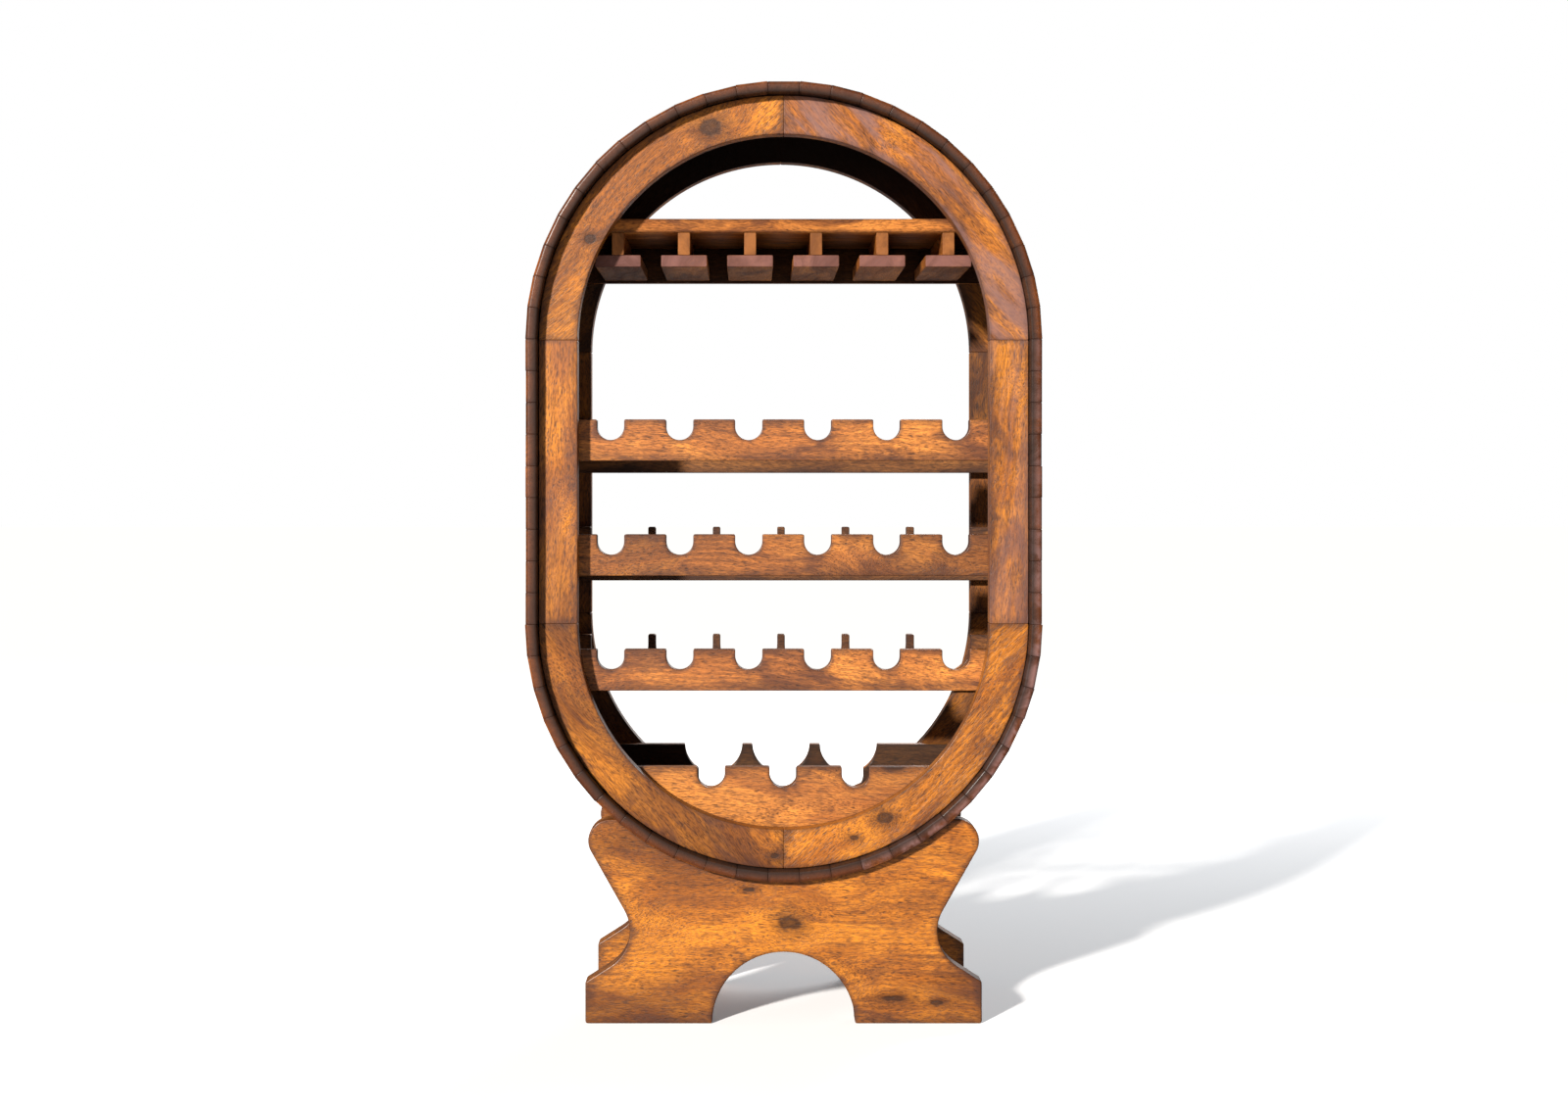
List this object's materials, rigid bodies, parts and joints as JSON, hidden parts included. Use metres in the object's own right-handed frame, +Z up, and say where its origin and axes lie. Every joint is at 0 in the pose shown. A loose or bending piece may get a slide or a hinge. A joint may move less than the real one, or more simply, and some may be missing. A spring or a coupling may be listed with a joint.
{
  "type": "wine rack",
  "caption": "Free-standing oval barrel wine rack in hardwood, with notched bottle rails, a hanging rack for stemmed glasses and an arched cradle base.",
  "frame": {"origin": "on the floor under the middle of the rack", "axes": "+Z up, the open front with the neck notches faces -Y, +X to the right seen from the front"},
  "size_m": [0.666, 0.33, 1.2193],
  "materials": {
    "barrel_wood": "satin lacquer over dark brown stained hardwood",
    "ring_wood": "satin lacquer over honey brown hardwood",
    "rail_wood": "satin lacquer over honey brown hardwood",
    "glass_rack_wood": "satin lacquer over brown hardwood",
    "cradle_wood": "satin lacquer over golden brown hardwood",
    "dowel_wood": "plain beech",
    "screw_steel": "zinc plated"
  },
  "bodies": {
    "root": {"barrel_screws": "screw_steel", "base_dowels": "dowel_wood", "bottom_front_board": "rail_wood", "bottom_rear_board": "rail_wood", "bottom_staves_1": "barrel_wood", "bottom_staves_2": "barrel_wood", "bottom_staves_3": "barrel_wood", "bottom_staves_4": "barrel_wood", "bottom_staves_5": "barrel_wood", "front_cradle_board": "cradle_wood", "front_rail_lower": "rail_wood", "front_rail_middle": "rail_wood", "front_rail_upper": "rail_wood", "front_ring_left_stile": "ring_wood", "front_ring_lower_left": "ring_wood", "front_ring_lower_right": "ring_wood", "front_ring_right_stile": "ring_wood", "front_ring_upper_left": "ring_wood", "front_ring_upper_right": "ring_wood", "glass_rack_back": "glass_rack_wood", "glass_rack_board": "glass_rack_wood", "glass_rack_flange_1": "glass_rack_wood", "glass_rack_flange_2": "glass_rack_wood", "glass_rack_flange_3": "glass_rack_wood", "glass_rack_flange_4": "glass_rack_wood", "glass_rack_flange_5": "glass_rack_wood", "glass_rack_flange_6": "glass_rack_wood", "glass_rack_screws": "screw_steel", "glass_rack_web_1": "glass_rack_wood", "glass_rack_web_2": "glass_rack_wood", "glass_rack_web_3": "glass_rack_wood", "glass_rack_web_4": "glass_rack_wood", "glass_rack_web_5": "glass_rack_wood", "glass_rack_web_6": "glass_rack_wood", "left_staves_1": "barrel_wood", "left_staves_2": "barrel_wood", "left_staves_3": "barrel_wood", "left_stretcher": "cradle_wood", "rail_screws": "screw_steel", "rear_cradle_board": "cradle_wood", "rear_rail_lower": "rail_wood", "rear_rail_middle": "rail_wood", "rear_rail_upper": "rail_wood", "rear_ring_left_stile": "ring_wood", "rear_ring_lower_left": "ring_wood", "rear_ring_lower_right": "ring_wood", "rear_ring_right_stile": "ring_wood", "rear_ring_upper_left": "ring_wood", "rear_ring_upper_right": "ring_wood", "right_staves_1": "barrel_wood", "right_staves_2": "barrel_wood", "right_staves_3": "barrel_wood", "right_stretcher": "cradle_wood", "ring_dowels": "dowel_wood", "top_staves_1": "barrel_wood", "top_staves_2": "barrel_wood", "top_staves_3": "barrel_wood", "top_staves_4": "barrel_wood", "top_staves_5": "barrel_wood"}
  },
  "joints": []
}
